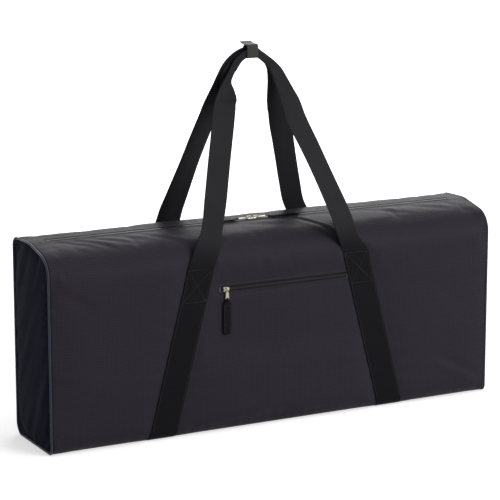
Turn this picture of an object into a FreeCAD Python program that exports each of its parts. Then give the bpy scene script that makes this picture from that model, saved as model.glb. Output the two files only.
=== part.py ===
import FreeCAD, Part
import math
import os

# Portable pickleball net packed in its zipped carry bag, millimetres.
# X runs along the bag, the front faces -Y, Z is up, the origin is the middle of the base.

# bag body
bag_length = 880.0
bag_depth = 156.0
bag_height = 354.0          # at the back edge
crown_rise = 2.0            # zip line above the back edge
front_drop = 16.0           # front edge below the back edge
zip_line_y = 12.0
crown_half = 8.0            # half of the level strip that the zip lies in
front_top_radius = 40.0
crown_radius = 40.0
back_top_radius = 16.0
front_bottom_radius = 12.0
back_bottom_radius = 24.0
panel_thickness = 2.4
base_thickness = 3.0
board_thickness = 3.0
end_panel_thickness = 2.0
piping_radius = 1.9
piping_sides = 4
seat_gap = 0.1
soft_gap = 0.3

# webbing: two straps sewn round the bag, and the free handles above them
strap_width = 50.0
strap_thickness = 1.6
strap_foot_x = 231.0
strap_slope = 0.258
stitch_drop = 38.0          # the stitching ends this far under the front edge
shoulder_rise = 55.0        # the webbing stays upright this far above the stitching
fold_rise = 240.0           # the webbing starts to fold in half this far above the shoulder
fold_length = 30.0
grip_width = 25.0
grip_thickness = 6.4
grip_gap = 0.6
grip_pinch = 0.84           # the wrap squeezes the grips to this share of their width

# zips: the sizes of the long one, which the pocket zip repeats at its own scale
tooth_pitch = 5.5
tooth_height = 2.0
tooth_reach = 0.8
row_inner = 1.0
row_outer = 2.2
row_spread = 1.6
tape_thickness = 0.9
tape_width = 16.0
tape_gap = 0.9
slot_half = 5.0
zip_play = 0.2
slider_length = 13.0
slider_plate = 1.4
slider_wall = 0.8
post_half = 0.6
bridge_width = 2.4
bridge_window = 2.8
bridge_bar = 1.4
bridge_inset = 1.5
link_length = 20.0
link_width = 8.0
link_wire = 0.7
link_thickness = 1.2
eye_reach = 5.2
eye_half = 1.6
ring_inner = 1.8
ring_outer = 3.0
loop_hole = 0.9
loop_outer = 1.9
tab_length = 64.0
tab_width = 15.0
tab_thickness = 2.4
zip_end_margin = 36.0       # from the end of the bag to the end of the top zip
slider_meeting_x = -7.0
slider_gap = 1.0
pocket_left = -117.0
pocket_right = 138.0
pocket_drop = 82.0          # pocket zip under the front edge
pocket_scale = 0.85
pocket_clearance = 2.5      # under the pocket bag, over the packed posts
pocket_room = 7.0
pocket_margin = 8.0
lining = 1.0

# wrap that ties the two grips together
wrap_middle_x = -14.0
wrap_width = 26.0
wrap_thickness = 1.2
wrap_room = 0.5
wrap_headroom = 1.0
wrap_sag = 4.8              # the wrap hangs this far under the pinched grips
patch_thickness = 0.7
tail_length = 13.0
tail_rise = 3.0

# packed net kit
side_room = 10.7            # between the rails and the bag's walls
tube_end_room = 17.0
tube_wall = 1.0
tube_play = 0.6
swage_length = 50.0
swage_drop = 1.4
button_radius = 4.0
button_height = 3.0
post_cap_length = 12.0
cap_flange = 1.5
centre_post_end_room = 36.0
socket_wall = 2.0
socket_length = 88.0
foot_end_room = 156.0
foot_headroom = 18.0
net_end_room = 55.0
tie_width = 25.0
tie_thickness = 1.4
tie_spread = 190.0
tube_sides = 24
bore_sides = 12
button_sides = 8

vec = FreeCAD.Vector
half_length = bag_length / 2
half_depth = bag_depth / 2
crown_height = bag_height + crown_rise
front_edge = bag_height - front_drop
piping_room = 2 * (piping_radius + seat_gap)
shell_half = half_length - piping_room
far = 2 * (bag_length + bag_height)


# basic shapes

def save(name, *solids):
    shape = solids[0] if len(solids) == 1 else Part.makeCompound(list(solids))
    shape.exportStep("parts/" + name + ".step")


def box(low, high):
    size = vec(*high) - vec(*low)
    return Part.makeBox(size.x, size.y, size.z, vec(*low))


def rod(radius, start, end):
    axis = vec(*end) - vec(*start)
    return Part.makeCylinder(radius, axis.Length, vec(*start), axis)


def faceted_rod(radius, sides, start, end):
    """A rod with a regular polygon for its section: for bores, soft rolls and what repeats."""
    axis = vec(*end) - vec(*start)
    rim = [vec(radius * math.cos(turn), radius * math.sin(turn), 0)
           for turn in (2 * math.pi * number / sides for number in range(sides))]
    solid = Part.Face(Part.makePolygon(rim + [rim[0]])).extrude(vec(0, 0, axis.Length))
    solid.Placement = FreeCAD.Placement(vec(*start), FreeCAD.Rotation(vec(0, 0, 1), axis))
    return solid


def along_x(low, high, y, z):
    return (low, y, z), (high, y, z)


def skinned(sections):
    """A closed solid over a row of four-cornered sections, with flat triangles between them."""
    facets = [sections[0], sections[-1]]
    for first, second in zip(sections, sections[1:]):
        for side in range(4):
            following = (side + 1) % 4
            facets.append([first[side], first[following], second[following]])
            facets.append([first[side], second[following], second[side]])
    shell = Part.makeShell([Part.Face(Part.makePolygon(points + [points[0]])) for points in facets])
    solid = Part.makeSolid(shell)
    if solid.Volume < 0:
        solid.reverse()
    return solid


def plate(points, low, high):
    """A closed outline of (x, y) points, from one height to another."""
    corners = [vec(x, y, low) for x, y in points]
    return Part.Face(Part.makePolygon(corners + [corners[0]])).extrude(vec(0, 0, high - low))


def mirrored(points):
    """An outline whose lower half repeats the given upper half."""
    return points + [(x, -y) for x, y in reversed(points)]


# the bag's cross-section

def rounded_outline(corners):
    """A closed wire in the YZ plane through (y, z, radius) corners, each one rounded."""
    arcs = []
    for index, (y, z, radius) in enumerate(corners):
        corner = vec(0, y, z)
        following = corners[(index + 1) % len(corners)]
        back = (vec(0, *corners[index - 1][:2]) - corner).normalize()
        ahead = (vec(0, *following[:2]) - corner).normalize()
        half_angle = back.getAngle(ahead) / 2
        tangent = radius / math.tan(half_angle)
        inward = (back + ahead).normalize()
        middle = corner + inward * (radius / math.sin(half_angle) - radius)
        arcs.append((corner + back * tangent, middle, corner + ahead * tangent))
    edges = []
    for index, (start, middle, end) in enumerate(arcs):
        edges.append(Part.LineSegment(arcs[index - 1][2], start).toShape())
        edges.append(Part.Arc(start, middle, end).toShape())
    return Part.Wire(edges)


def bag_outline(inset=0.0):
    outline = rounded_outline([
        (-half_depth, 0.0, front_bottom_radius),
        (-half_depth, front_edge, front_top_radius),
        (zip_line_y - crown_half, crown_height, crown_radius),
        (zip_line_y + crown_half, crown_height, crown_radius),
        (half_depth, bag_height, back_top_radius),
        (half_depth, 0.0, back_bottom_radius),
    ])
    return outline.makeOffset2D(-inset) if inset else outline


def strap_outline(inset=0.0):
    """The line that the straps follow: outside the walls, and flush with the base."""
    reach = half_depth + strap_thickness
    top = crown_height + far
    outline = rounded_outline([
        (-reach, 0.0, front_bottom_radius + strap_thickness),
        (-reach, top, front_bottom_radius),
        (reach, top, front_bottom_radius),
        (reach, 0.0, back_bottom_radius + strap_thickness),
    ])
    return outline.makeOffset2D(-inset) if inset else outline


def sleeve(outline, outer_inset, inner_inset, x_half):
    """The wall between two insets of an outline, along the bag."""
    wall = Part.Face(outline(outer_inset)).cut(Part.Face(outline(inner_inset)))
    return wall.translate(vec(-x_half, 0, 0)).extrude(vec(2 * x_half, 0, 0))


# straps and handles

def leg_centre(z):
    return strap_foot_x - strap_slope * z


sewn_height = front_edge - stitch_drop
shoulder_height = sewn_height + shoulder_rise
leg_half = strap_width / 2 * math.hypot(1, strap_slope)
strap_foot_y = half_depth + strap_thickness / 2
grip_y = (grip_thickness + grip_gap) / 2


def wrap_strap(side):
    """One strap sewn up the front, under the base and up the back."""
    reach = half_depth + 2 * strap_thickness
    corners = [(leg_centre(0) - leg_half, 0), (leg_centre(0) + leg_half, 0),
               (leg_centre(sewn_height) + leg_half, sewn_height),
               (leg_centre(sewn_height) - leg_half, sewn_height)]
    points = [vec(side * x, -reach, z) for x, z in corners]
    prism = Part.Face(Part.makePolygon(points + [points[0]])).extrude(vec(0, 2 * reach, 0))
    return sleeve(strap_outline, 0, strap_thickness, half_length).common(prism)


def station(route, index):
    """The rectangle of webbing at one place of a handle's route."""
    here, half_width, half_thickness = route[index]
    along = (route[min(index + 1, len(route) - 1)][0] - route[max(index - 1, 0)][0]).normalize()
    if index in (0, len(route) - 1):
        facing, across = vec(0, 1, 0), vec(-along.z, 0, 0).normalize()
    else:
        facing = (vec(0, 1, 0) - along * along.y).normalize()
        across = along.cross(facing)
    wide, thick = across * half_width, facing * half_thickness
    return [here + wide + thick, here - wide + thick, here - wide - thick, here + wide - thick]


def handle(side, left_leg, crest, right_leg):
    """A carrying handle: two legs of webbing that fold in half into one grip.

    The points are (X, rise above the shoulder), with the legs' X as a share of the shoulder's.
    """
    shoulder_x = leg_centre(shoulder_height)
    foot = (leg_centre(sewn_height + soft_gap), sewn_height + soft_gap - shoulder_height)
    left = [(share * shoulder_x, rise) for share, rise in left_leg]
    right = [(share * shoulder_x, rise) for share, rise in reversed(right_leg)]
    route = []
    for x, rise in [(-foot[0], foot[1])] + left + crest + right + [foot]:
        lean = min(max(rise / (fold_rise + fold_length), 0), 1)
        folded = min(max((rise - fold_rise) / fold_length, 0), 1)
        y = strap_foot_y + (grip_y - strap_foot_y) * lean
        width = strap_width + (grip_width - strap_width) * folded
        if abs(x - wrap_middle_x) < wrap_width:
            width *= grip_pinch
        thickness = strap_thickness + (grip_thickness - strap_thickness) * folded
        route.append((vec(x, side * y, shoulder_height + rise), width / 2, thickness / 2))
    for end in (0, -1):
        route[end] = (route[end][0], leg_half, route[end][2])
    return skinned([station(route, index) for index in range(len(route))])


# Each zip is drawn flat along X, with the fabric's outer face at height 0.

teeth_floor = -panel_thickness
plate_low = teeth_floor + tooth_height + zip_play
plate_top = plate_low + slider_plate
tape_low = teeth_floor - tape_thickness
slider_reach = slider_length + slider_gap / 2
nose_half = row_outer + row_spread + zip_play
throat_half = row_outer + zip_play
bridge_end = slider_gap / 2 + slider_length - bridge_inset
link_pivot = (bridge_end - bridge_bar - 2 * zip_play - link_wire * 1.5, plate_top + 2 * zip_play + link_wire)
ring_pivot = (slider_gap / 2 + slider_length / 2, plate_top + bridge_window + bridge_bar / 2)


def parting(x, meeting):
    """How far the rows stand apart beside the sliders, which meet or stop at one place."""
    away = slider_reach - abs(x - meeting)
    return row_spread * min(max(away / (slider_length / 2), 0), 1)


def teeth_row(low, high, side, meeting):
    """One half of a zip's chain: a spine with teeth that reach past the middle line."""
    inner = []
    for number in range(int((high - low) / tooth_pitch * 2)):
        x = low + number * tooth_pitch / 2
        at_root = (number % 2 == 0) == (side > 0)
        inner.append((x, parting(x, meeting) + (row_inner if at_root else -tooth_reach)))
    inner.append((high, row_inner))
    bends = [meeting + end * reach for end, reach in
             ((-1, slider_reach), (-1, slider_reach - slider_length / 2),
              (1, slider_reach - slider_length / 2), (1, slider_reach))]
    outer = [(x, row_outer + parting(x, meeting)) for x in [low] + bends + [high] if low <= x <= high]
    points = [(x, side * y) for x, y in inner + outer[::-1]]
    return plate(points, teeth_floor, teeth_floor + tooth_height)


def slider():
    """A slider on the +X side of its meeting place, with its nose towards it."""
    start = slider_gap / 2
    shoulder = slider_gap / 2 + slider_length / 2
    end = slider_gap / 2 + slider_length

    def plan(extra):
        return mirrored([(start, nose_half + extra), (shoulder, nose_half + extra),
                         (end, throat_half + extra)])

    top = plate(plan(slider_wall), plate_low, plate_top)
    skirt = plate(plan(slider_wall), teeth_floor + zip_play, plate_low)
    skirt = skirt.cut(plate(plan(0), teeth_floor, plate_low))
    bottom = plate(plan(slider_wall), tape_low - zip_play - slider_plate, tape_low - zip_play)
    post = plate(mirrored([(start, post_half / 2), (start + 1, post_half), (shoulder, post_half / 4)]),
                 tape_low - zip_play - slider_plate, plate_low)
    roof = plate_top + bridge_window + bridge_bar
    half = bridge_width / 2
    arch = box((start + bridge_inset, -half, plate_top), (bridge_end, half, roof))
    corners = [edge for edge in arch.Edges
               if abs(edge.CenterOfMass.z - roof) < 0.01 and abs(edge.CenterOfMass.y) < 0.01]
    arch = arch.makeFillet(bridge_bar, corners)
    window = box((start + bridge_inset + bridge_bar, -half - 1, plate_top),
                 (bridge_end - bridge_bar, half + 1, plate_top + bridge_window))
    return top.fuse([skirt, bottom, post, arch.cut(window)]).removeSplitter()


def link_blade():
    """The flat end of a link: it widens to the slot and the round bar that hold the pull tab."""
    neck = eye_half + link_wire * 2
    outline = mirrored([(eye_reach, neck), (link_length - 3, link_width / 2), (link_length, link_width / 2)])
    blade = plate(outline, -link_thickness / 2, link_thickness / 2)
    slot_end = link_length - link_wire
    slot_start = link_length - loop_outer - 2 * zip_play
    slot = link_width / 2 - link_wire * 2
    blade = blade.cut(box((slot_start, -slot, -1), (slot_end + 1, slot, 1)))
    ends = (link_length, -link_width / 2, 0), (link_length, link_width / 2, 0)
    bar = faceted_rod(link_wire, bore_sides, *ends)
    return blade.fuse(bar)


def flat_link():
    """A link that lies along its zip: a fork round the bridge and a bar under it."""
    neck = eye_half + link_wire * 2
    arms = box((0, -neck, -link_thickness / 2), (eye_reach, neck, link_thickness / 2))
    arms = arms.cut(box((-1, -eye_half, -1), (eye_reach, eye_half, 1)))
    bar = faceted_rod(link_wire, bore_sides, (0, -neck, 0), (0, neck, 0))
    return arms.fuse([bar, link_blade()]).removeSplitter()


def ring_link():
    """A link that hangs across its zip: a ring round the bridge, and the same blade."""
    half = link_wire
    ends = along_x(-half, half, 0, 0)
    ring = faceted_rod(ring_outer, tube_sides, *ends).cut(faceted_rod(ring_inner, tube_sides, *ends))
    neck = box((-half, -eye_reach, -link_thickness / 2), (half, -ring_inner - 0.5, link_thickness / 2))
    blade = link_blade().rotate(vec(0, 0, 0), vec(0, 0, 1), -90)
    return ring.fuse([neck, blade]).removeSplitter()


def pull_tab(length, width):
    """A webbing pull, sewn into a loop round the link's bar, from the bar outwards along X."""
    loop_half = link_width / 2 - link_wire * 2 - zip_play
    loop = faceted_rod(loop_outer, bore_sides, (0, -loop_half, 0), (0, loop_half, 0))
    wide_start = loop_outer + link_wire
    half = width / 2
    tongue = box((0, -loop_half, -tab_thickness / 2), (wide_start, loop_half, tab_thickness / 2))
    shoulder = wide_start + half - loop_half
    outline = mirrored([(wide_start, loop_half), (shoulder, half), (length - half / 2, half),
                        (length, half * 0.7)])
    strip = plate(outline, -tab_thickness / 2, tab_thickness / 2)
    hole = faceted_rod(loop_hole, bore_sides, (0, -half, 0), (0, half, 0))
    return loop.fuse([tongue, strip]).cut(hole).removeSplitter()


def end_stop(x, side):
    """A metal clip over both rows at the end of a chain."""
    reach = tooth_height * side
    low, high = min(x, x + reach), max(x, x + reach)
    return box((low, -row_outer, teeth_floor), (high, row_outer, teeth_floor + tooth_height))


def on_top(shape, side=1):
    """A part of the top zip, from its flat drawing to the crown of the bag."""
    if side < 0:
        shape = shape.rotate(vec(0, 0, 0), vec(0, 0, 1), 180)
    return shape.translate(vec(slider_meeting_x, zip_line_y, crown_height))


def on_pocket(shape):
    """A part of the pocket zip, scaled about its tape and turned to face the front."""
    shape = shape.scaled(pocket_scale, vec(0, 0, teeth_floor))
    shape = shape.rotate(vec(0, 0, 0), vec(1, 0, 0), 90)
    return shape.translate(vec(pocket_meeting, -half_depth, pocket_zip_z))


pocket_zip_z = front_edge - pocket_drop
pocket_slot = slot_half * pocket_scale
pocket_meeting = pocket_left + 3 * tooth_height
pocket_chain_low = (pocket_left + 1 - pocket_meeting) / pocket_scale
pocket_chain_high = (pocket_right - 1 - pocket_meeting) / pocket_scale
pocket_front = -half_depth + panel_thickness + (tape_thickness + slider_plate + 2 * zip_play) * pocket_scale
pocket_back = pocket_front + pocket_room + 2 * lining
top_zip_half = half_length - zip_end_margin


# bag

def make_walls(straps):
    skin = sleeve(bag_outline, 0, panel_thickness, shell_half)
    front_seam = -half_depth + front_bottom_radius
    back_seam = half_depth - back_bottom_radius
    front_zone = box((-far, -far, -1), (far, zip_line_y, far))
    front_zone = front_zone.cut(box((-far, front_seam, -1), (far, far, bag_height / 2)))
    back_zone = box((-far, zip_line_y, -1), (far, far, far))
    back_zone = back_zone.cut(box((-far, -far, -1), (far, back_seam, bag_height / 2)))
    zip_slot = box((-top_zip_half, zip_line_y - slot_half, bag_height / 2),
                   (top_zip_half, zip_line_y + slot_half, far))
    pocket_window = box((pocket_left, -half_depth - 1, pocket_zip_z - pocket_slot),
                        (pocket_right, -half_depth + panel_thickness, pocket_zip_z + pocket_slot))
    front = skin.common(front_zone).cut([zip_slot, pocket_window] + straps)
    back = skin.common(back_zone).cut([zip_slot] + straps)
    base = box((-shell_half, front_seam, 0), (shell_half, back_seam, base_thickness)).cut(straps)
    board = box((-shell_half + 1, front_seam, base_thickness),
                (shell_half - 1, back_seam, base_thickness + board_thickness))
    save("front_panel", front)
    save("back_panel", back)
    save("base_panel", base)
    save("base_board", board)


def make_ends():
    for name, side in (("left", -1), ("right", 1)):
        inner = side * (shell_half + seat_gap)
        outer = inner + side * end_panel_thickness
        face = Part.Face(bag_outline(piping_room)).translate(vec(inner, 0, 0))
        save(name + "_end_panel", face.extrude(vec(outer - inner, 0, 0)))
        path = bag_outline(piping_room / 2).translate(vec(side * (shell_half + piping_room / 2), 0, 0))
        start = path.Edges[0].Vertexes[0].Point
        along = path.Edges[0].tangentAt(path.Edges[0].FirstParameter)
        spoke = along.cross(vec(1, 0, 0)) * piping_radius
        turn = FreeCAD.Rotation(along, 360 / piping_sides)
        rim = [start + spoke]
        for _ in range(piping_sides):
            spoke = turn.multVec(spoke)
            rim.append(start + spoke)
        save(name + "_end_piping", path.makePipeShell([Part.makePolygon(rim)], True, False))


def make_top_zip():
    tape = sleeve(bag_outline, panel_thickness, panel_thickness + tape_thickness, top_zip_half + tooth_pitch)
    low = -top_zip_half + 1 - slider_meeting_x
    high = top_zip_half - 1 - slider_meeting_x
    stop = tooth_height + zip_play
    for name, side in (("front", -1), ("back", 1)):
        edges = sorted((zip_line_y + side * tape_gap, zip_line_y + side * tape_width))
        save("top_zip_tape_" + name, tape.common(box((-far, edges[0], bag_height / 2), (far, edges[1], far))))
        save("top_zip_teeth_" + name, on_top(teeth_row(low + stop, high - stop, side, 0)))
    save("top_zip_end_stops", on_top(end_stop(low, 1)), on_top(end_stop(high, -1)))
    for name, side in (("left", -1), ("right", 1)):
        save(name + "_slider", on_top(slider(), side))
        link = flat_link().translate(vec(link_pivot[0], 0, link_pivot[1]))
        save(name + "_slider_link", on_top(link, side))
        tab = pull_tab(tab_length, tab_width).translate(vec(link_pivot[0] + link_length, 0, link_pivot[1]))
        save(name + "_pull_tab", on_top(tab, side))


def make_pocket():
    stop = tooth_height + zip_play
    low, high = pocket_chain_low, pocket_chain_high
    tapes = [box((low - 3, min(side * tape_gap, side * tape_width), tape_low),
                 (high + 3, max(side * tape_gap, side * tape_width), teeth_floor)) for side in (-1, 1)]
    save("pocket_zip_tapes", *[on_pocket(tape) for tape in tapes])
    save("pocket_zip_teeth_lower", on_pocket(teeth_row(low + stop, high - stop, -1, 0)))
    save("pocket_zip_teeth_upper", on_pocket(teeth_row(low + stop, high - stop, 1, 0)))
    save("pocket_end_stops", on_pocket(end_stop(low, 1)), on_pocket(end_stop(high, -1)))
    save("pocket_slider", on_pocket(slider()))
    save("pocket_slider_link", on_pocket(ring_link().translate(vec(ring_pivot[0], 0, ring_pivot[1]))))
    tab = pull_tab(tab_length / pocket_scale, tab_width / pocket_scale)
    tab = tab.rotate(vec(0, 0, 0), vec(0, 0, 1), -90)
    save("pocket_pull_tab", on_pocket(tab.translate(vec(ring_pivot[0], -link_length, ring_pivot[1]))))

    low_x, high_x = pocket_left - pocket_margin, pocket_right + pocket_margin
    low_z, high_z = posts_top + pocket_clearance, pocket_zip_z + tape_width * pocket_scale
    pouch = box((low_x, pocket_front, low_z), (high_x, pocket_back, high_z))
    inside = box((low_x + lining, pocket_front + lining, low_z + lining),
                 (high_x - lining, pocket_back - lining, high_z - lining))
    mouth = box((pocket_left, pocket_front - 1, pocket_zip_z - pocket_slot),
                (pocket_right, pocket_front + lining, pocket_zip_z + pocket_slot))
    save("pocket_bag", pouch.cut([inside, mouth]))


# handles and the wrap on their grips

crest_rise = 305.0
front_route = (
    [(-1.0, 0), (-0.818, 85), (-0.653, 173), (-0.567, 235)],
    [(-69, 268), (-52, 286), (-36, 299), (-27, 303), (-14, crest_rise), (-1, 303), (9, 296), (19, 285),
     (29, 270)],
    [(1.0, 0), (0.768, 73), (0.473, 163), (0.301, 235)],
)
back_route = (
    [(-1.0, 0), (-0.86, 75), (-0.646, 160), (-0.516, 235)],
    [(-62, 268), (-48, 286), (-35, 298), (-27, 303), (-14, crest_rise), (-1, 303), (9, 296), (19, 285),
     (28, 270)],
    [(0.88, 0), (0.73, 65), (0.524, 140), (0.316, 235)],
)


def make_handles():
    save("front_handle", handle(-1, *front_route))
    save("back_handle", handle(1, *back_route))


def make_wrap():
    grip_middle = shoulder_height + crest_rise
    low_x, high_x = wrap_middle_x - wrap_width / 2, wrap_middle_x + wrap_width / 2
    reach = grip_y + grip_thickness / 2 + wrap_room
    half_pinched = grip_width * grip_pinch / 2
    floor = grip_middle - half_pinched - wrap_sag
    roof = grip_middle + half_pinched + wrap_headroom
    sleeve_top = roof + wrap_thickness
    loop_top = sleeve_top + patch_thickness
    hook_top = loop_top + patch_thickness
    flap_top = hook_top + wrap_thickness
    outer = reach + wrap_thickness
    inner_edge = grip_gap

    back = box((low_x, reach, floor - wrap_thickness), (high_x, outer, sleeve_top))
    under = box((low_x, -reach, floor - wrap_thickness), (high_x, reach, floor))
    top = box((low_x, inner_edge, roof), (high_x, reach, sleeve_top))
    save("wrap_sleeve", back.fuse([under, top]).removeSplitter())
    patch_low, patch_high = (low_x + 1, inner_edge), (high_x - 1, outer - 0.5)
    save("wrap_loop_patch", box((*patch_low, sleeve_top), (*patch_high, loop_top)))
    save("wrap_hook_patch", box((*patch_low, loop_top), (*patch_high, hook_top)))

    profile = [(-reach - seat_gap, floor), (-reach - seat_gap, hook_top), (outer, hook_top),
               (outer + tail_length, hook_top + tail_rise),
               (outer + tail_length, flap_top + tail_rise), (outer, flap_top),
               (-outer - seat_gap, flap_top), (-outer - seat_gap, floor)]
    points = [vec(low_x, y, z) for y, z in profile]
    flap = Part.Face(Part.makePolygon(points + [points[0]])).extrude(vec(wrap_width, 0, 0))
    save("wrap_flap", flap)


# net kit inside the bag

tube_radius = (bag_depth - 2 * (panel_thickness + side_room) - 3 * tube_play) / 8
tube_length = 2 * (shell_half - tube_end_room)
tube_pitch = 2 * tube_radius + tube_play
kit_floor = base_thickness + board_thickness + soft_gap
lanes = [(number - 1.5) * tube_pitch for number in range(4)]
post_layer = kit_floor + tube_radius + 2 * tube_pitch


def rail(y, z):
    """A base rail: a thin tube with a narrower end that plugs into the next one."""
    inner = tube_radius - tube_wall
    neck = tube_radius - swage_drop
    low, high = -tube_length / 2, tube_length / 2
    body = faceted_rod(tube_radius, tube_sides, *along_x(low, high - swage_length, y, z))
    tube = body.fuse(faceted_rod(neck, tube_sides, *along_x(high - swage_length, high, y, z)))
    bores = [faceted_rod(inner, bore_sides, *along_x(low - 1, high - swage_length - tube_wall, y, z)),
             faceted_rod(neck - tube_wall, bore_sides, *along_x(low, high + 1, y, z))]
    return tube.cut(bores)


def snap_button(y, z):
    """The button that locks a rail's narrow end, in the free corner between the tubes."""
    base = (tube_radius - swage_drop) / math.sqrt(2)
    top = base + button_height / math.sqrt(2)
    x = tube_length / 2 - swage_length / 2
    return faceted_rod(button_radius, button_sides, (x, y + base, z + base), (x, y + top, z + top))


def post(length, y):
    """An upright: a plain tube and the plastic cap that closes its upper end."""
    inner = tube_radius - tube_wall
    low = -length / 2
    body = rod(tube_radius, *along_x(low, length / 2, y, post_layer))
    body = body.cut(faceted_rod(inner, bore_sides, *along_x(low - 1, length / 2 + 1, y, post_layer)))
    cap = faceted_rod(tube_radius, tube_sides, *along_x(low - cap_flange, low - seat_gap, y, post_layer))
    ends = along_x(low - seat_gap, low + post_cap_length, y, post_layer)
    plug = faceted_rod(inner - seat_gap, bore_sides, *ends)
    return body, cap.fuse(plug)


socket_radius = tube_radius + socket_wall
foot_pitch = 2 * socket_radius + tube_play
foot_top = front_edge - foot_headroom
foot_length = 2 * (shell_half - foot_end_room)
foot_reach = (socket_length + 2 * tube_radius) / 2
posts_top = post_layer + tube_radius

# The rolled net lies in the gap between the centre post and the rear end post, two lanes apart,
# and ends under the lowest foot, so with its radius r:
# (net_room - r)^2 + tube_pitch^2 = (seat + r)^2.
net_room = foot_top - 3 * foot_pitch + tube_play - soft_gap - post_layer
seat = tube_radius + soft_gap
net_radius = (net_room ** 2 + tube_pitch ** 2 - seat ** 2) / (2 * (net_room + seat))
net_y = (lanes[1] + lanes[3]) / 2
net_z = post_layer + net_room - net_radius


def foot(level, side):
    """A T-shaped foot on its side: a leg tube and the socket that a post stands in."""
    z = foot_top - socket_radius - (2 - level) * foot_pitch
    leg_y = side * (foot_reach - tube_radius)
    leg = rod(tube_radius, *along_x(-foot_length / 2, foot_length / 2, leg_y, z))
    hollow = faceted_rod(tube_radius - tube_wall, bore_sides, *along_x(-shell_half, shell_half, leg_y, z))
    tip = -side * foot_reach
    socket = rod(socket_radius, (0, leg_y, z), (0, tip, z))
    hole = tube_radius + tube_play
    bore = faceted_rod(hole, bore_sides, (0, leg_y - side * tube_radius, z), (0, tip - side, z))
    return leg.fuse(socket).cut([bore, hollow]).removeSplitter()


def make_kit():
    places = [(y, kit_floor + tube_radius + level * tube_pitch) for level in range(2) for y in lanes]
    save("base_rails", *[rail(y, z) for y, z in places])
    save("rail_snap_buttons", *[snap_button(y, z) for y, z in places])
    left, right = post(tube_length, lanes[0]), post(tube_length, lanes[3])
    centre = post(2 * (shell_half - centre_post_end_room), lanes[1])
    save("end_posts", left[0], right[0])
    save("centre_post", centre[0])
    save("post_caps", left[1], right[1], centre[1])
    save("end_feet", foot(0, 1), foot(2, 1))
    save("centre_foot", foot(1, -1))

    half = shell_half - net_end_room
    roll = faceted_rod(net_radius, tube_sides, *along_x(-half, half, net_y, net_z))
    ties = []
    for x in (-tie_spread, tie_spread):
        ends = along_x(x - tie_width / 2, x + tie_width / 2, net_y, net_z)
        band = faceted_rod(net_radius, tube_sides, *ends)
        roll = roll.cut(band.cut(faceted_rod(net_radius - tie_thickness - seat_gap, tube_sides, *ends)))
        ties.append(band.cut(faceted_rod(net_radius - tie_thickness, tube_sides, *ends)))
    save("net_roll", roll)
    save("net_ties", *ties)


os.makedirs("parts", exist_ok=True)
strap_pair = [wrap_strap(-1), wrap_strap(1)]
save("left_strap", strap_pair[0])
save("right_strap", strap_pair[1])
make_walls(strap_pair)
make_ends()
make_top_zip()
make_pocket()
make_handles()
make_wrap()
make_kit()
print("nodes:", len(os.listdir("parts")))
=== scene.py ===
from math import atan2, copysign, cos, exp, hypot, pi, radians, sin, tan, tanh

import bpy
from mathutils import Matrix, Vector, geometry, noise


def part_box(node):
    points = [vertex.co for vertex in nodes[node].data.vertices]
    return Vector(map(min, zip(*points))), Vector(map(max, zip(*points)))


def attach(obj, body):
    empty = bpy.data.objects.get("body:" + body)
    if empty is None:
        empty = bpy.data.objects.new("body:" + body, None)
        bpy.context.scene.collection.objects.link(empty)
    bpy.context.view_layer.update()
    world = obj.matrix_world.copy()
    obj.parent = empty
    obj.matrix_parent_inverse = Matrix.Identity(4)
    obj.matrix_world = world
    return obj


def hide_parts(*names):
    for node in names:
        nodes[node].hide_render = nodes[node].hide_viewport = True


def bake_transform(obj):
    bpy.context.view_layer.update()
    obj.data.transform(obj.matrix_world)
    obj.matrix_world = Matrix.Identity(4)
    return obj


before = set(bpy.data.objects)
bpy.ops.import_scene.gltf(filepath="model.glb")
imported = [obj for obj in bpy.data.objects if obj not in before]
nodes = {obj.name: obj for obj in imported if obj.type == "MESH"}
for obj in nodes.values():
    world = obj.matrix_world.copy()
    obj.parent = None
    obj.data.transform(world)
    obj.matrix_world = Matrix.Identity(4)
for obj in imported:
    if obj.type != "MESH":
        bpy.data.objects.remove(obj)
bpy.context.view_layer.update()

scene = bpy.context.scene
scene.view_settings.view_transform = "Standard"
sides = (("left", -1), ("right", 1))


# node helpers

def newMaterial(name):
    made = bpy.data.materials.new(name)
    made.use_nodes = True
    return made, made.node_tree, made.node_tree.nodes["Principled BSDF"]


def setInputs(node, values):
    for key, value in values.items():
        if isinstance(value, bpy.types.NodeSocket):
            node.id_data.links.new(value, node.inputs[key])
        else:
            node.inputs[key].default_value = value


def addNode(tree, kind, values=None, **settings):
    made = tree.nodes.new("ShaderNode" + kind)
    for key, value in settings.items():
        setattr(made, key, value)
    setInputs(made, values or {})
    return made


def maths(operation, first, second=0.0):
    return addNode(first.id_data, "Math", {0: first, 1: second}, operation=operation).outputs[0]


def ranged(value, low, high, start=0.0, end=1.0, **settings):
    return addNode(value.id_data, "MapRange", {0: value, 1: start, 2: end, 3: low, 4: high}, **settings).outputs[0]


def objectPlace(tree):
    return addNode(tree, "TexCoord").outputs["Object"]


def whereSeen(tree, *kinds):
    path = addNode(tree, "LightPath")
    seen = path.outputs["Is Camera Ray"]
    for kind in kinds:
        seen = maths("MAXIMUM", seen, path.outputs[kind])
    return seen


# mesh helpers

def placed(name, data):
    piece = bpy.data.objects.new(name, data)
    scene.collection.objects.link(piece)
    return piece


def meshPiece(name, points, faces, cut=None):
    data = bpy.data.meshes.new(name)
    data.from_pydata([tuple(point) for point in points], [], faces)
    if cut:
        layer = data.uv_layers.new(name="cut")
        layer.data.foreach_set("uv", [value for loop in data.loops for value in cut[loop.vertex_index]])
    data.update()
    return placed(name, data)


def choose(piece):
    bpy.ops.object.select_all(action="DESELECT")
    piece.select_set(True)
    bpy.context.view_layer.objects.active = piece


def applied(piece, kind, **settings):
    choose(piece)
    modifier = piece.modifiers.new("shape", kind)
    for key, value in settings.items():
        setattr(modifier, key, value)
    bpy.ops.object.modifier_apply(modifier="shape")


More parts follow.
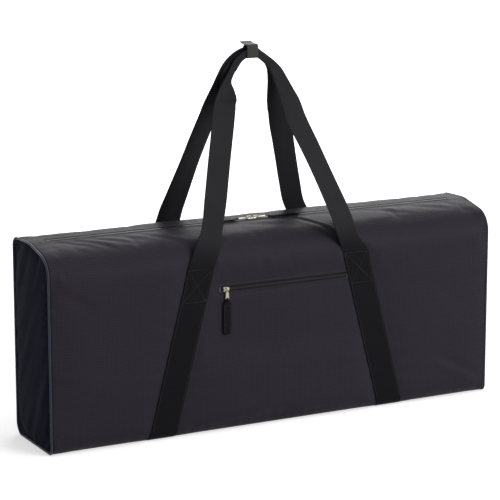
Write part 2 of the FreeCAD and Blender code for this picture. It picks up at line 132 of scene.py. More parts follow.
def dressed(piece, material, body, slotName, *standsFor):
    piece.data.materials.clear()
    piece.data.materials.append(material)
    if body:
        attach(piece, body)
    if standsFor:
        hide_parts(*standsFor)


def between(low, high, count):
    return [low + (high - low) * number / count for number in range(count + 1)]


def spread(stops, step):
    places = []
    for low, high in zip(stops, stops[1:]):
        places += between(low, high, max(1, round((high - low) / step)))[:-1]
    return places + [stops[-1]]


def ease(value, low, high):
    share = min(max((value - low) / (high - low), 0), 1)
    return share * share * (3 - 2 * share)


def wave(first, second, seed):
    return noise.noise(Vector((first, second, seed)))


def smoothRoute(points, step):
    ends = [points[0] * 2 - points[1]] + points + [points[-1] * 2 - points[-2]]
    dense = []

    def mixed(first, second, low, high):
        return first * ((high - t) / (high - low)) + second * ((t - low) / (high - low))
    for stops in zip(ends, ends[1:], ends[2:], ends[3:]):
        knots = [0.0]
        for first, second in zip(stops, stops[1:]):
            knots.append(knots[-1] + max((second - first).length, 1e-6) ** 0.5)
        count = max(2, int((stops[2] - stops[1]).length / step * 4))
        for t in between(knots[1], knots[2], count)[:-1]:
            a = [mixed(stops[k], stops[k + 1], knots[k], knots[k + 1]) for k in range(3)]
            b = [mixed(a[k], a[k + 1], knots[k], knots[k + 2]) for k in range(2)]
            dense.append(mixed(b[0], b[1], knots[1], knots[2]))
    dense.append(points[-1].copy())
    return evenly(dense, step)


def evenly(line, step):
    lengths = [0.0]
    for first, second in zip(line, line[1:]):
        lengths.append(lengths[-1] + (second - first).length)
    spaced, place = [], 0
    for goal in between(0.0, lengths[-1], max(2, round(lengths[-1] / step))):
        while place < len(line) - 2 and lengths[place + 1] < goal:
            place += 1
        share = (goal - lengths[place]) / max(lengths[place + 1] - lengths[place], 1e-9)
        spaced.append(line[place].lerp(line[place + 1], min(max(share, 0), 1)))
    return spaced


def ribbonPiece(name, rows, across, thickness, bevel=0.0):
    wide = len(rows[0])
    along = [0.0]
    for first, second in zip(rows, rows[1:]):
        along.append(along[-1] + (second[wide // 2] - first[wide // 2]).length)
    flat = across if isinstance(across[0], list) else [across] * len(rows)
    cut = [(x, along[row]) for row, places in enumerate(flat) for x in places]
    faces = [(corner, corner + 1, corner + wide + 1, corner + wide)
             for row in range(len(rows) - 1) for corner in range(row * wide, (row + 1) * wide - 1)]
    piece = meshPiece(name, [point for row in rows for point in row], faces, cut)
    applied(piece, "SOLIDIFY", thickness=thickness, offset=0, use_even_offset=True)
    if bevel:
        applied(piece, "BEVEL", width=bevel, segments=2, limit_method="ANGLE", angle_limit=radians(60))
    choose(piece)
    bpy.ops.object.shade_smooth_by_angle(angle=radians(50))
    return piece, along[-1]


# camera, floor and light

view = {"place": (-1.796, -3.389, 1.139), "turn": 27.69, "tilt": 12.34, "lens": 157.9, "film": 36}


def makeCamera():
    turn, tilt = radians(view["turn"]), radians(view["tilt"])
    back = Vector((-sin(turn) * cos(tilt), -cos(turn) * cos(tilt), sin(tilt)))
    lens = bpy.data.cameras.new("camera")
    lens.lens, lens.sensor_width = view["lens"], view["film"]
    camera = placed("camera", lens)
    camera.location = view["place"]
    camera.rotation_mode = "QUATERNION"
    camera.rotation_quaternion = back.to_track_quat("Z", "Y")
    scene.camera = camera


room = {
    "floorSize": 80, "floorTone": 0.9, "skyGlow": 0.26, "showGlow": 1.0, "liftNear": 0.5, "liftFar": 1.0,
    "nearEnd": 1.0, "farStart": 3.0, "aim": (0, 0, 0.25),
}
lamps = {
    "rightFront": {"place": (2.9, -4.4, 2.3), "size": 2.6, "power": 185},
    "overhead": {"place": (0.4, -0.4, 4.4), "size": 3.0, "power": 60},
    "backRight": {"place": (2.4, 3.6, 2.6), "size": 2.4, "power": 60},
}


def makeRoom():
    bpy.ops.mesh.primitive_plane_add(size=room["floorSize"], location=(0, 0, 0))
    floor = bpy.context.active_object
    floor.name = "floor"
    paint, tree, shader = newMaterial("palePaper")
    away = addNode(tree, "VectorMath", {0: objectPlace(tree)}, operation="LENGTH").outputs["Value"]
    lift = ranged(away, room["liftNear"], room["liftFar"], room["nearEnd"], room["farStart"])
    glow = maths("MULTIPLY", whereSeen(tree, "Is Glossy Ray"), lift)
    setInputs(shader, {"Base Color": (room["floorTone"],) * 3 + (1,), "Roughness": 0.9,
                             "Specular IOR Level": 0.1, "Emission Color": (1, 1, 1, 1), "Emission Strength": glow})
    floor.data.materials.append(paint)

    scene.world = bpy.data.worlds.new("studio")
    scene.world.use_nodes = True
    sky = scene.world.node_tree
    seen = whereSeen(sky, "Is Glossy Ray", "Is Transmission Ray")
    power = ranged(seen, room["skyGlow"], room["showGlow"])
    setInputs(sky.nodes["Background"], {"Color": (1, 1, 1, 1), "Strength": power})

    for name, lamp in lamps.items():
        light = bpy.data.lights.new(name, "AREA")
        light.size, light.energy = lamp["size"], lamp["power"]
        holder = placed(name, light)
        holder.location = lamp["place"]
        aim = Vector(lamp["place"]) - Vector(room["aim"])
        holder.rotation_euler = aim.to_track_quat("Z", "Y").to_euler()


# finishes: cloths follow their cut sheet's own coordinates, grained ones the object's

def tint(code):
    channels = [int(code[place:place + 2], 16) / 255 for place in (0, 2, 4)]
    return tuple(c / 12.92 if c <= 0.04045 else ((c + 0.055) / 1.055) ** 2.4 for c in channels) + (1,)


def mixTint(share, low, high):
    low, high = [tint(shade) if isinstance(shade, str) else shade for shade in (low, high)]
    return addNode(share.id_data, "Mix", {0: share, 6: low, 7: high}, data_type="RGBA").outputs[2]


def cloudy(place, scale, detail, roughness=0.5):
    values = {"Vector": place, "Scale": float(scale), "Detail": detail, "Roughness": roughness}
    return addNode(place.id_data, "TexNoise", values).outputs[0]


def bumped(height, strength, depth):
    values = {"Height": height, "Strength": strength, "Distance": depth}
    return addNode(height.id_data, "Bump", values).outputs[0]


def cutPlace(tree):
    return addNode(tree, "UVMap", uv_map="cut").outputs[0]


def threadGrid(operation, flat, pitch, sharp):
    sets = []
    for axis in (0, 1):
        share = maths("FRACT", maths("MULTIPLY", flat.outputs[axis], 1 / pitch))
        away = maths("ABSOLUTE", maths("SUBTRACT", share, 0.5))
        sets.append(ranged(away, 0.0, 1.0, 0.5 - sharp, 0.5))
    return maths(operation, *sets)


ripstop = {
    "ground": "1e1c22", "light": "28252c", "line": "322f37", "gridPitch": 0.0046, "gridSharp": 0.16,
    "threadPitch": 0.0011, "threadShare": 0.35, "cloudScale": 5.0, "fleckScale": 420.0, "roughness": (0.44, 0.56),
    "shine": 0.07, "sheen": 0.04, "sheenTint": "8a8c98", "depth": 0.00035,
}


def ripstopCloth():
    look = ripstop
    cloth, tree, shader = newMaterial("ripstopCloth")
    flat = addNode(tree, "SeparateXYZ", {0: cutPlace(tree)})
    lines = threadGrid("MAXIMUM", flat, look["gridPitch"], look["gridSharp"])
    threads = threadGrid("MULTIPLY", flat, look["threadPitch"], 0.5)
    place = objectPlace(tree)
    cloud = cloudy(place, look["cloudScale"], 4.0, 0.6)
    fleck = cloudy(place, look["fleckScale"], 2.0)
    shown = maths("MULTIPLY", lines, ranged(fleck, 0.25, 0.85))
    relief = maths("ADD", lines, maths("MULTIPLY", threads, look["threadShare"]))
    setInputs(shader, {
        "Base Color": mixTint(shown, mixTint(cloud, look["ground"], look["light"]), look["line"]),
        "Roughness": ranged(cloud, *look["roughness"]), "Normal": bumped(relief, 0.5, look["depth"]),
        "Specular IOR Level": look["shine"], "Sheen Weight": look["sheen"], "Sheen Roughness": 0.45,
        "Sheen Tint": tint(look["sheenTint"])})
    return cloth


# the lighter tone is painted sheen, laid as diagonal streaks across the end panels; the same streaks also vary the
# roughness
endCloth = {
    "ground": "090b16", "light": "161b2b", "roughness": (0.34, 0.52), "shine": 0.005, "slant": 38,
    "paintedSheenStreak": (26, 3.5, 1), "threadPitch": 0.0009, "depth": 0.0001,
}


def satinCloth():
    look = endCloth
    cloth, tree, shader = newMaterial("endCloth")
    flat = cutPlace(tree)
    turned = addNode(tree, "Mapping", {"Vector": flat, "Rotation": (0, 0, radians(look["slant"])),
                                       "Scale": look["paintedSheenStreak"]})
    paintedSheenStreak = cloudy(turned.outputs[0], 1.0, 3.0)
    threads = threadGrid("MULTIPLY", addNode(tree, "SeparateXYZ", {0: flat}), look["threadPitch"], 0.5)
    setInputs(shader, {
        # painted sheen: the diagonal streaks mix the lighter tone into the base colour
        "Base Color": mixTint(paintedSheenStreak, look["ground"], look["light"]),
        "Roughness": ranged(paintedSheenStreak, *look["roughness"]), "Normal": bumped(threads, 0.3, look["depth"]),
        "Specular IOR Level": look["shine"]})
    return cloth


# the second pair of tones is painted light: the handle webbing shades into them between the two heights that follow, a
# painted highlight standing in for the overhead light on the leaning grips
webbing = {
    "ground": "0b0a0e", "light": "17171b", "paintedLitGround": "1c1c20", "paintedLitLight": "2d2d30", "paintedLitLow": 0.285,
    "paintedLitHigh": 0.365, "ribPitch": 0.0016, "pickPitch": 0.0010, "pickShift": 1.6, "ribShare": 0.6, "pickShare": 0.4,
    "wearScale": 18.0, "roughness": 0.48, "shine": 0.04, "depth": 0.00012,
}


def webbingWeave(name, paintedLitShare):
    look = webbing
    band, tree, shader = newMaterial(name)
    flat = addNode(tree, "SeparateXYZ", {0: cutPlace(tree)})
    across = maths("MULTIPLY", flat.outputs[0], 2 * pi / look["ribPitch"])
    along = maths("MULTIPLY", flat.outputs[1], 2 * pi / look["pickPitch"])
    rib = maths("SINE", across)
    pick = maths("SINE", maths("ADD", along, maths("MULTIPLY", rib, look["pickShift"])))
    height = maths("ADD", maths("MULTIPLY", rib, look["ribShare"]),
                   maths("MULTIPLY", pick, look["pickShare"]))
    place = objectPlace(tree)
    worn = maths("ADD", cloudy(place, look["wearScale"], 5.0), 0.35)
    shade = maths("MULTIPLY", ranged(height, 0.0, 1.0, -1.0, 1.0), worn)
    # painted light: the lighter tones take over with height, in the share of painted highlight this copy of the
    # webbing is given
    level = addNode(tree, "SeparateXYZ", {0: place}).outputs[2]
    share = ranged(level, 0.0, paintedLitShare, look["paintedLitLow"], look["paintedLitHigh"], interpolation_type="SMOOTHSTEP")
    colour = mixTint(share, mixTint(shade, look["ground"], look["light"]),
                     mixTint(shade, look["paintedLitGround"], look["paintedLitLight"]))
    setInputs(shader, {"Base Color": colour, "Roughness": look["roughness"],
                             "Normal": bumped(height, 0.6, look["depth"]), "Specular IOR Level": look["shine"]})
    return band


finishKeys = ("ground", "light", "scale", "roughness", "bump", "sheen", "metal")
finishes = {
    "pipingCord": ("1a1d2a", "343a4c", 260, 0.42, 0.00015, 0.3, 0),
    "zipTape": ("0b0b0d", "1a1a1d", 900, 0.7, 0.0002, 0.3, 0),
    "zipTeeth": ("111113", "28282b", 300, 0.35, 0.00005, 0, 0),
    "nickelPlate": ("7f7a6c", "aaa496", 160, 0.24, 0.00004, 0, 1),
    "boardPlastic": ("1b1c1f", "26272a", 90, 0.55, 0.0002, 0, 0),
    "wrapCloth": ("282827", "3a3a38", 700, 0.75, 0.0003, 0.4, 0),
    "hookTape": ("4c4a4e", "77757a", 1100, 0.6, 0.0006, 0.1, 0),
    "loopTape": ("1c1b1e", "333236", 1400, 0.95, 0.0008, 0.8, 0),
    "stitchThread": ("050506", "0c0c0e", 1500, 0.45, 0.0001, 0.3, 0),
    "tackThread": ("4a4a4c", "77777a", 1500, 0.45, 0.0001, 0, 0),
    "pouchLining": ("17171a", "242428", 500, 0.6, 0.0001, 0.3, 0),
    "powderCoat": ("17181b", "232427", 600, 0.42, 0.0001, 0, 0),
    "springSteel": ("8d8f92", "b4b6b8", 200, 0.3, 0.00003, 0, 1),
    "capPlastic": ("101113", "1c1d20", 300, 0.5, 0.0001, 0, 0),
    "nettingTwine": ("0f1012", "202124", 800, 0.8, 0.0005, 0.3, 0),
}
wearLook = {"scale": 24.0, "low": 0.3, "high": 0.7, "roughness": 0.07, "metalShine": 0.5, "shine": 0.12}


def grainFinish(name):
    look = dict(zip(finishKeys, finishes[name]))
    made, tree, shader = newMaterial(name)
    place = objectPlace(tree)
    grain = cloudy(place, look["scale"], 4.0)
    wear = cloudy(place, wearLook["scale"], 6.0, 0.65)
    share = maths("MULTIPLY", maths("ADD", grain, wear), 0.5)
    rough = ranged(wear, look["roughness"] - wearLook["roughness"], look["roughness"] + wearLook["roughness"],
                   wearLook["low"], wearLook["high"])
    setInputs(shader, {
        "Base Color": mixTint(share, look["ground"], look["light"]), "Roughness": rough,
        "Normal": bumped(grain, 0.5, look["bump"]), "Metallic": look["metal"], "Sheen Weight": look["sheen"],
        "Specular IOR Level": wearLook["metalShine"] if look["metal"] else wearLook["shine"]})
    return made


# the bag's cross-section, as (depth, height) corners, and its openings, as (low x, high x, low arc, high arc)

frontWall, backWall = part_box("front_panel"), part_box("back_panel")
crown = frontWall[1].z
zipDepth = (frontWall[1].y + backWall[0].y) / 2
bag = {
    "frontDrop": 0.018, "backDrop": 0.002, "crownHalf": 0.008, "seam": backWall[1].x, "endCut": (0.156, 0.356),
    "radii": (0.012, 0.040, 0.040, 0.040, 0.016, 0.024),
}
corners = [
    (frontWall[0].y, 0.0), (frontWall[0].y, crown - bag["frontDrop"]), (zipDepth - bag["crownHalf"], crown),
    (zipDepth + bag["crownHalf"], crown), (backWall[1].y, crown - bag["backDrop"]), (backWall[1].y, 0.0),
]


def traceSection():
    bends = []
    for index, corner in enumerate(corners):
        corner, radius = Vector(corner), bag["radii"][index]
        back = (Vector(corners[index - 1]) - corner).normalized()
        ahead = (Vector(corners[(index + 1) % len(corners)]) - corner).normalized()
        half = back.angle(ahead) / 2
        reach = radius / tan(half)
        centre = corner + (back + ahead).normalized() * (radius / sin(half))
        bends.append((corner + back * reach, corner + ahead * reach, centre, radius, pi - 2 * half))
    parts = []
    for index, (start, end, centre, radius, turn) in enumerate(bends):
        following = bends[(index + 1) % len(bends)][0]
        parts += [(radius * turn, start, end, centre, radius), ((following - end).length, end, following, None, 0)]
    return parts


section = traceSection()
girth = sum(part[0] for part in section)
backSeam = girth - section[-1][0]


def wallPoint(distance):
    distance %= girth
    for length, start, end, centre, radius in section:
        if distance > length:
            distance -= length
        elif centre is None:
            way = (end - start).normalized()
            return start + way * distance, Vector((-way.y, way.x))
        else:
            arm, c, s = start - centre, cos(distance / radius), sin(distance / radius)
            arm = Vector((arm.x * c + arm.y * s, arm.y * c - arm.x * s))
            return centre + arm, arm.normalized()
    return section[0][1].copy(), Vector((0, -1))


def arcAtHeight(height):
    return section[0][0] + height - bag["radii"][0]


def arcAtDepth(depth):
    low, high = arcAtHeight(0.2), backSeam - 0.2
    for _ in range(40):
        middle = (low + high) / 2
        low, high = (middle, high) if wallPoint(middle)[0].x < depth else (low, middle)
    return low


zips = {
    "topHalf": 0.404, "topSlot": 0.005, "pocketLeft": -0.117, "pocketRight": 0.138, "pocketHeight": 0.256,
    "pocketSlot": 0.00425,
}
topSlot = (-zips["topHalf"], zips["topHalf"], arcAtDepth(zipDepth - zips["topSlot"]),
           arcAtDepth(zipDepth + zips["topSlot"]))
pocketSlot = (zips["pocketLeft"], zips["pocketRight"], arcAtHeight(zips["pocketHeight"] - zips["pocketSlot"]),
              arcAtHeight(zips["pocketHeight"] + zips["pocketSlot"]))
slots = (topSlot, pocketSlot)
ridge = (topSlot[2] + topSlot[3]) / 2
strap = {
    "width": 0.050, "thickness": 0.0016, "footX": 0.231, "slope": 0.258, "sewnTop": 0.300, "joinHeight": 0.235,
    "under": 0.0008, "frontRadius": 0.0128, "backRadius": 0.0248, "baseStart": -0.066, "baseEnd": 0.054,
}
bandHalf = strap["width"] / 2 * hypot(1, strap["slope"])


def strapCentre(height):
    return strap["footX"] - strap["slope"] * height


def bandOffset(x, height):
    return abs(abs(x) - strapCentre(height)) - bandHalf


def slotDistance(slot, x, arc):
    return hypot(max(slot[0] - x, x - slot[1], 0), max(slot[2] - arc, arc - slot[3], 0))


# bag shell: one closed form, swollen by a short cloth run and cut into panels

shell = {
    "mesh": 0.0066, "frames": 20, "hems": (0.0012, 0.0030, 0.0048), "thickness": 0.0006, "drag": 0.3, "bulge": 0.0055,
    "pocketBulge": 0.0008, "topBulge": 0.0025, "endBulge": 0.0035, "sink": 0.0012, "pullRoom": (0.012, 0.022),
    "topBand": 0.035, "frontTop": 0.33, "calmMiddle": 0.010, "calmSide": (0.135, 0.185), "calmOver": (0.262, 0.30),
    "calmUnder": (0.10, 0.165),
}
grip = {"seam": (0.0, 0.002), "strap": (0.0, 0.004), "slot": (0.003, 0.012), "fold": (0.0, 0.006)}
clothRun = {
    "quality": 5, "mass": 0.3, "tension_stiffness": 15, "compression_stiffness": 15, "shear_stiffness": 5,
    "bending_stiffness": 0.4, "use_pressure": True, "uniform_pressure_force": 3.2, "vertex_group_mass": "held",
    "shrink_min": -0.006,
}


def buildShell():
    hems, seam, step = (0,) + shell["hems"], bag["seam"], shell["mesh"]
    arcStops = sorted([0.0, backSeam, girth] + [slot[2] - hem for slot in slots for hem in hems]
                      + [slot[3] + hem for slot in slots for hem in hems])
    xStops = sorted([-seam, seam] + [side * (zips["topHalf"] + hem) for side in (-1, 1) for hem in (0, hems[-1])]
                    + [zips["pocketLeft"] - hem for hem in hems] + [zips["pocketRight"] + hem for hem in hems])
    arcs, columns = spread(arcStops, step)[:-1], spread(xStops, step)
    ring = [wallPoint(arc)[0] for arc in arcs]
    points = [(x, spot.x, spot.y) for x in columns for spot in ring]
    where = [("wall", x, arc) for x in columns for arc in arcs]
    around = len(arcs)
    faces, tags = [], []
    for column in range(len(columns) - 1):
        for place in range(around):
            following = (place + 1) % around
            corner = column * around
            faces.append((corner + place, corner + around + place, corner + around + following, corner + following))
            x = (columns[column] + columns[column + 1]) / 2
            arc = (arcs[place] + (arcs[following] if following else girth)) / 2
            tag = "base" if arc > backSeam else "front" if arc < ridge else "back"
            cutOut = any(slot[0] < x < slot[1] and slot[2] < arc < slot[3] for slot in slots)
            tags.append("slot" if cutOut else tag)
    grid = [Vector((row * step, level * step)) for row in range(-14, 15) for level in range(1, 60)]
    inside = [spot for spot in grid
              if min((spot - edge).length for edge in ring) > step * 0.7 and insideSection(spot, ring)]
    edges = [(place, (place + 1) % around) for place in range(around)]
    spots, _, triangles, origin, _, _ = geometry.delaunay_2d_cdt(ring + inside, edges, [], 1, 1e-6)
    for side, column, name in ((-1, 0, "leftEnd"), (1, len(columns) - 1, "rightEnd")):
        match = {}
        for number, sources in enumerate(origin):
            if sources and sources[0] < around:
                match[number] = column * around + sources[0]
            else:
                match[number] = len(points)
                points.append((side * seam, spots[number].x, spots[number].y))
                where.append((name, spots[number].x, spots[number].y))
        for triangle in triangles:
            faces.append([match[number] for number in triangle][::side])
            tags.append(name)
    return points, faces, tags, where


def insideSection(spot, ring):
    crossings = 0
    for first, second in zip(ring, ring[1:] + ring[:1]):
        if (first.y > spot.y) != (second.y > spot.y):
            crossings += spot.x < first.x + (spot.y - first.y) * (second.x - first.x) / (second.y - first.y)
    return crossings % 2 == 1


def pullRoom(arc):
    return ease(abs(arc - ridge), *shell["pullRoom"])


def heldHere(kind, x, arc):
    if kind != "wall":
        return 0.0
    if arc > backSeam or arc == 0:
        return 1.0
    height = wallPoint(arc)[0].y
    free = [ease(slotDistance(slot, x, arc), *grip["slot"]) for slot in slots]
    free += [ease(bag["seam"] - abs(x), *grip["seam"]), ease(min(arc, backSeam - arc), *grip["fold"]), pullRoom(arc)]
    if height < strap["sewnTop"]:
        free.append(ease(bandOffset(x, height), *grip["strap"]))
    return 1 - min(free)


def swellLimit(kind, x, arc):
    if kind != "wall":
        return shell["endBulge"]
    height = wallPoint(arc)[0].y
    if height > crown - shell["topBand"]:
        return shell["topBulge"]
    if arc < arcAtHeight(shell["frontTop"]):
        near = max(ease(abs(x - shell["calmMiddle"]), *shell["calmSide"]), ease(height, *shell["calmOver"]),
                   1 - ease(height, *shell["calmUnder"]))
        return shell["pocketBulge"] + (shell["bulge"] - shell["pocketBulge"]) * near
    return shell["bulge"]


def inflated(points, faces, where):
    piece = meshPiece("clothForm", points, faces)
    group = piece.vertex_groups.new(name="held")
    for index, spot in enumerate(where):
        hold = heldHere(*spot)
        if hold > 0:
            group.add([index], hold, "REPLACE")
    cloth = piece.modifiers.new("cloth", "CLOTH")
    for key, value in clothRun.items():
        setattr(cloth.settings, key, value)
    cloth.settings.effector_weights.gravity = 0
    cloth.collision_settings.use_collision = False
    cloth.point_cache.frame_start, cloth.point_cache.frame_end = 1, shell["frames"]
    for number in range(1, shell["frames"] + 1):
        scene.frame_set(number)
    shown = piece.evaluated_get(bpy.context.evaluated_depsgraph_get())
    swollen = [vertex.co.copy() for vertex in shown.to_mesh().vertices]
    shown.to_mesh_clear()
    scene.frame_set(1)
    bpy.data.objects.remove(piece)
    return swollen


def settled(points, where, swollen):
    final = []
    for point, spot, puffed in zip(points, where, swollen):
        start = Vector(point)
        normal = wallPoint(spot[2])[1]
        outward = Vector((0, normal.x, normal.y) if spot[0] == "wall" else (copysign(1, start.x), 0, 0))
        move = puffed - start
        height = move.dot(outward)
        limit = swellLimit(*spot) if height > 0 else shell["sink"]
        final.append(start + outward * (limit * tanh(height / limit))
                     + (move - outward * height) * shell["drag"])
    return final


# folds and gathers sewn or pressed into the cloth: (x, level) ends, depth and width; a level over zero is a height
# on the front, one under zero lies that far below the top zip
creases = [
    ((0.062, -0.006), (0.120, 0.330), 0.0015, 0.0045),
    ((0.040, -0.010), (0.112, 0.333), -0.0005, 0.008),
    ((-0.074, -0.008), (-0.120, 0.326), 0.0009, 0.006),
    ((-0.395, -0.010), (-0.330, -0.055), 0.0010, 0.006),
    ((-0.372, -0.006), (-0.300, -0.060), 0.0012, 0.007),
    ((-0.340, -0.010), (-0.262, -0.052), 0.0009, 0.006),
    ((-0.300, -0.004), (-0.225, -0.050), 0.0008, 0.008),
    ((-0.250, -0.012), (-0.170, -0.066), 0.0010, 0.007),
    ((-0.060, -0.015), (0.050, -0.045), 0.0008, 0.008),
    ((0.200, -0.008), (0.300, -0.052), 0.0009, 0.008),
    ((0.290, -0.010), (0.400, -0.056), 0.0008, 0.008),
    ((0.432, 0.030), (0.330, 0.085), 0.0014, 0.009),
    ((0.430, 0.300), (0.340, 0.255), 0.0010, 0.011),
    ((-0.430, 0.040), (-0.345, 0.100), 0.0009, 0.010),
    ((-0.431, 0.290), (-0.350, 0.240), 0.0008, 0.012),
]

# swells: depth, the length of a wave each way, seed; gathers: depth, how far they reach, then as for swells
swells = {
    "broad": (0.0008, 0.10, 0.075, 2.3), "small": (0.00036, 0.035, 0.05, 7.7), "end": (0.0011, 0.028, 0.16, 3.9),
    "endSmall": (0.0007, 0.0756, 0.16, 8.2),
}
gathers = {
    "floor": (0.0017, 0.022, 0.011, 0.06, 4.4), "seam": (0.00144, 0.028, 0.015, 0.07, 9.1),
    "strap": (0.0005, 0.018, 0.016, 0.05, 5.6), "end": (0.0011, 0.016, 0.0625, 0.05, 6.1),
}
reach = {
    "floor": (0.0, 0.012), "floorRise": (0.004, 0.012), "strap": (0.0, 0.012), "strapFloor": (0.0, 0.010),
    "strapEdge": (0.0, 0.005), "strapFoot": (0.01, 0.03), "strapFar": 0.06, "seam": (0.0, 0.005),
    "hem": (0.004, 0.022), "creaseHem": (0.004, 0.014), "end": (0.0, 0.010), "endEdge": (0.0, 0.004),
    "strapRim": (-0.0008, 0.0006), "footHeight": 0.03, "sewnIn": 0.00015, "creaseLeft": 0.3,
}
endFace = {"slant": 0.62, "middle": 0.178, "flatten": 2.2, "out": 0.0014, "clear": 0.0003}
hemShape = ((0.0, -0.0009), (0.0012, 0.0003), (0.0030, 0.0004), (0.0048, -0.0004), (0.0070, 0.0))


def hemHeight(distance):
    for (low, first), (high, second) in zip(hemShape, hemShape[1:]):
        if distance <= high:
            return first + (second - first) * (distance - low) / (high - low)
    return 0.0


def swell(kind, first, second):
    depth, wide, tall, seed = swells[kind]
    return depth * wave(first / wide, second / tall, seed)


def gather(kind, along, gap):
    depth, far, wide, tall, seed = gathers[kind]
    return depth * exp(-gap / far) * wave(along / wide, gap / tall, seed)


def creaseArc(level):
    return arcAtHeight(level) if level > 0 else topSlot[2] + level


def creaseHeight(x, arc):
    height = 0.0
    for (x1, level1), (x2, level2), depth, width in creases:
        start, end, spot = Vector((x1, creaseArc(level1))), Vector((x2, creaseArc(level2))), Vector((x, arc))
        run, side = end - start, spot - start
        share, off = run.dot(side) / run.length_squared, run.cross(side) / run.length / width
        if -0.15 < share < 1.15 and abs(off) < 4:
            fade = ease(share, -0.12, 0.3) * (1 - ease(share, 0.75, 1.12))
            height += depth * fade * (0.7 * exp(-(off - 1.5) ** 2) - exp(-off * off))
    return height


def wallRelief(x, arc):
    spot, normal = wallPoint(arc)
    strapGap = bandOffset(x, spot.y) if spot.y < strap["sewnTop"] else 1.0
    if strapGap < reach["strapRim"][1]:
        under = strap["thickness"] * max(-normal.y, 0) if spot.y < reach["footHeight"] else 0
        return -(reach["sewnIn"] + under) * (1 - ease(strapGap, *reach["strapRim"]))
    if arc > backSeam:
        return 0.0
    hem = min(slotDistance(slot, x, arc) for slot in slots)
    seamGap, floorGap, room = max(bag["seam"] - abs(x), 0), min(arc, backSeam - arc), pullRoom(arc)
    floorRoom = ease(floorGap, *reach["floor"]) * room
    free = floorRoom * ease(strapGap, *reach["strap"]) * ease(hem, *reach["hem"])
    height = free * (swell("broad", x, arc) + swell("small", x, arc))
    height += gather("floor", x, floorGap) * ease(floorGap, *reach["floorRise"]) * ease(strapGap, *reach["strapFloor"])
    height += gather("seam", arc, seamGap) * ease(seamGap, *reach["seam"]) * floorRoom
    if strapGap < reach["strapFar"]:
        edge = ease(strapGap, *reach["strapEdge"]) * ease(spot.y, *reach["strapFoot"])
        height += gather("strap", spot.y, strapGap) * edge
    left = reach["creaseLeft"]
    height += creaseHeight(x, arc) * ease(hem, *reach["creaseHem"]) * (left + (1 - left) * room)
    return height + hemHeight(hem) if hem < hemShape[-1][0] else height


def endRelief(depth, height, ringGap):
    slant, across = depth + height * endFace["slant"], height - depth * endFace["slant"]
    turn = atan2(height - endFace["middle"], depth * endFace["flatten"])
    level = ease(ringGap, *reach["end"]) * (swell("end", slant, across) + swell("endSmall", slant, across))
    return level + gather("end", turn, ringGap) * ease(ringGap, *reach["endEdge"])


def panelPiece(name, tag, points, faces, tags, where):
    picked = [face for face, label in zip(faces, tags) if label == tag]
    used = sorted({index for face in picked for index in face})
    order = {index: number for number, index in enumerate(used)}
    cut = []
    for index in used:
        kind, first, second = where[index]
        if tag.endswith("End") and kind == "wall":
            first, second = wallPoint(second)[0]
        if tag == "base" and second == 0.0:
            second = girth
        cut.append((first, second))
    piece = meshPiece(name, [points[index] for index in used], [[order[i] for i in face] for face in picked], cut)
    kept = {"subdivision_type": "SIMPLE"} if tag.endswith("End") else {"boundary_smooth": "PRESERVE_CORNERS"}
    applied(piece, "SUBSURF", levels=1, render_levels=1, **kept)
    return piece


def pressFolds(piece, tag):
    data = piece.data
    layer = data.uv_layers["cut"].data
    flat = {loop.vertex_index: layer[loop.index].uv.copy() for loop in data.loops}
    ring = [wallPoint(girth * number / 240)[0] for number in range(240)]
    for vertex in data.vertices:
        first, second = flat[vertex.index]
        if tag.endswith("End"):
            gap = min((Vector((first, second)) - edge).length for edge in ring)
            outward = Vector((copysign(1, vertex.co.x), 0, 0))
            vertex.co += outward * (endFace["out"] + endRelief(first, second, gap))
        else:
            normal = wallPoint(second)[1]
            vertex.co += Vector((0, normal.x, normal.y)) * wallRelief(first, second)
        vertex.co.z = max(vertex.co.z, endFace["clear"])


def makeBag():
    points, faces, tags, where = buildShell()
    print("bag form:", len(points), "points,", len(faces), "faces")
    final = settled(points, where, inflated(points, faces, where))
    print("bag swollen")
    long = 2 * bag["seam"]
    areas = {
        "frontCloth": ("front", (long, topSlot[2]), "front_panel", "ripstop_cloth", []),
        "backCloth": ("back", (long, backSeam - topSlot[3]), "back_panel", "ripstop_cloth", []),
        "baseCloth": ("base", (long, girth - backSeam), "base_panel", "ripstop_cloth", ["base_board"]),
        "leftEndCloth": ("leftEnd", bag["endCut"], "left_end_panel", "end_cloth", []),
        "rightEndCloth": ("rightEnd", bag["endCut"], "right_end_panel", "end_cloth", []),
    }
    for name, (tag, flat, node, slotName, under) in areas.items():
        piece = panelPiece(name, tag, final, faces, tags, where)
        pressFolds(piece, tag)
        applied(piece, "SOLIDIFY", thickness=shell["thickness"], offset=-1)
        bpy.ops.object.shade_smooth()
        dressed(piece, cloths[slotName], "bag", slotName, node)
    print("bag panels cut")


# piping round both ends

piping = {"radius": 0.0021, "inset": 0.0010, "out": 0.0019, "floor": 0.0002, "points": 300}


def makePiping():
    for name, side in sides:
        curve = bpy.data.curves.new(name + "Piping", "CURVE")
        curve.dimensions = "3D"
        curve.bevel_depth = piping["radius"]
        curve.bevel_resolution = 2
        spline = curve.splines.new("POLY")
        spline.points.add(piping["points"] - 1)
        spline.use_cyclic_u = True
        for number, point in enumerate(spline.points):
            spot, normal = wallPoint(girth * number / piping["points"])
            spot = spot - normal * piping["inset"]
            height = max(spot.y, piping["radius"] + piping["floor"])
            point.co = (side * (bag["seam"] + piping["out"]), spot.x, height, 1)
        cord = placed(name + "Piping", curve)
        choose(cord)
        bpy.ops.object.convert(target="MESH")
        bpy.ops.object.shade_smooth()
        dressed(cord, grain["pipingCord"], "bag", "piping", name + "_end_piping")
    print("piping laid")


# straps round the bag

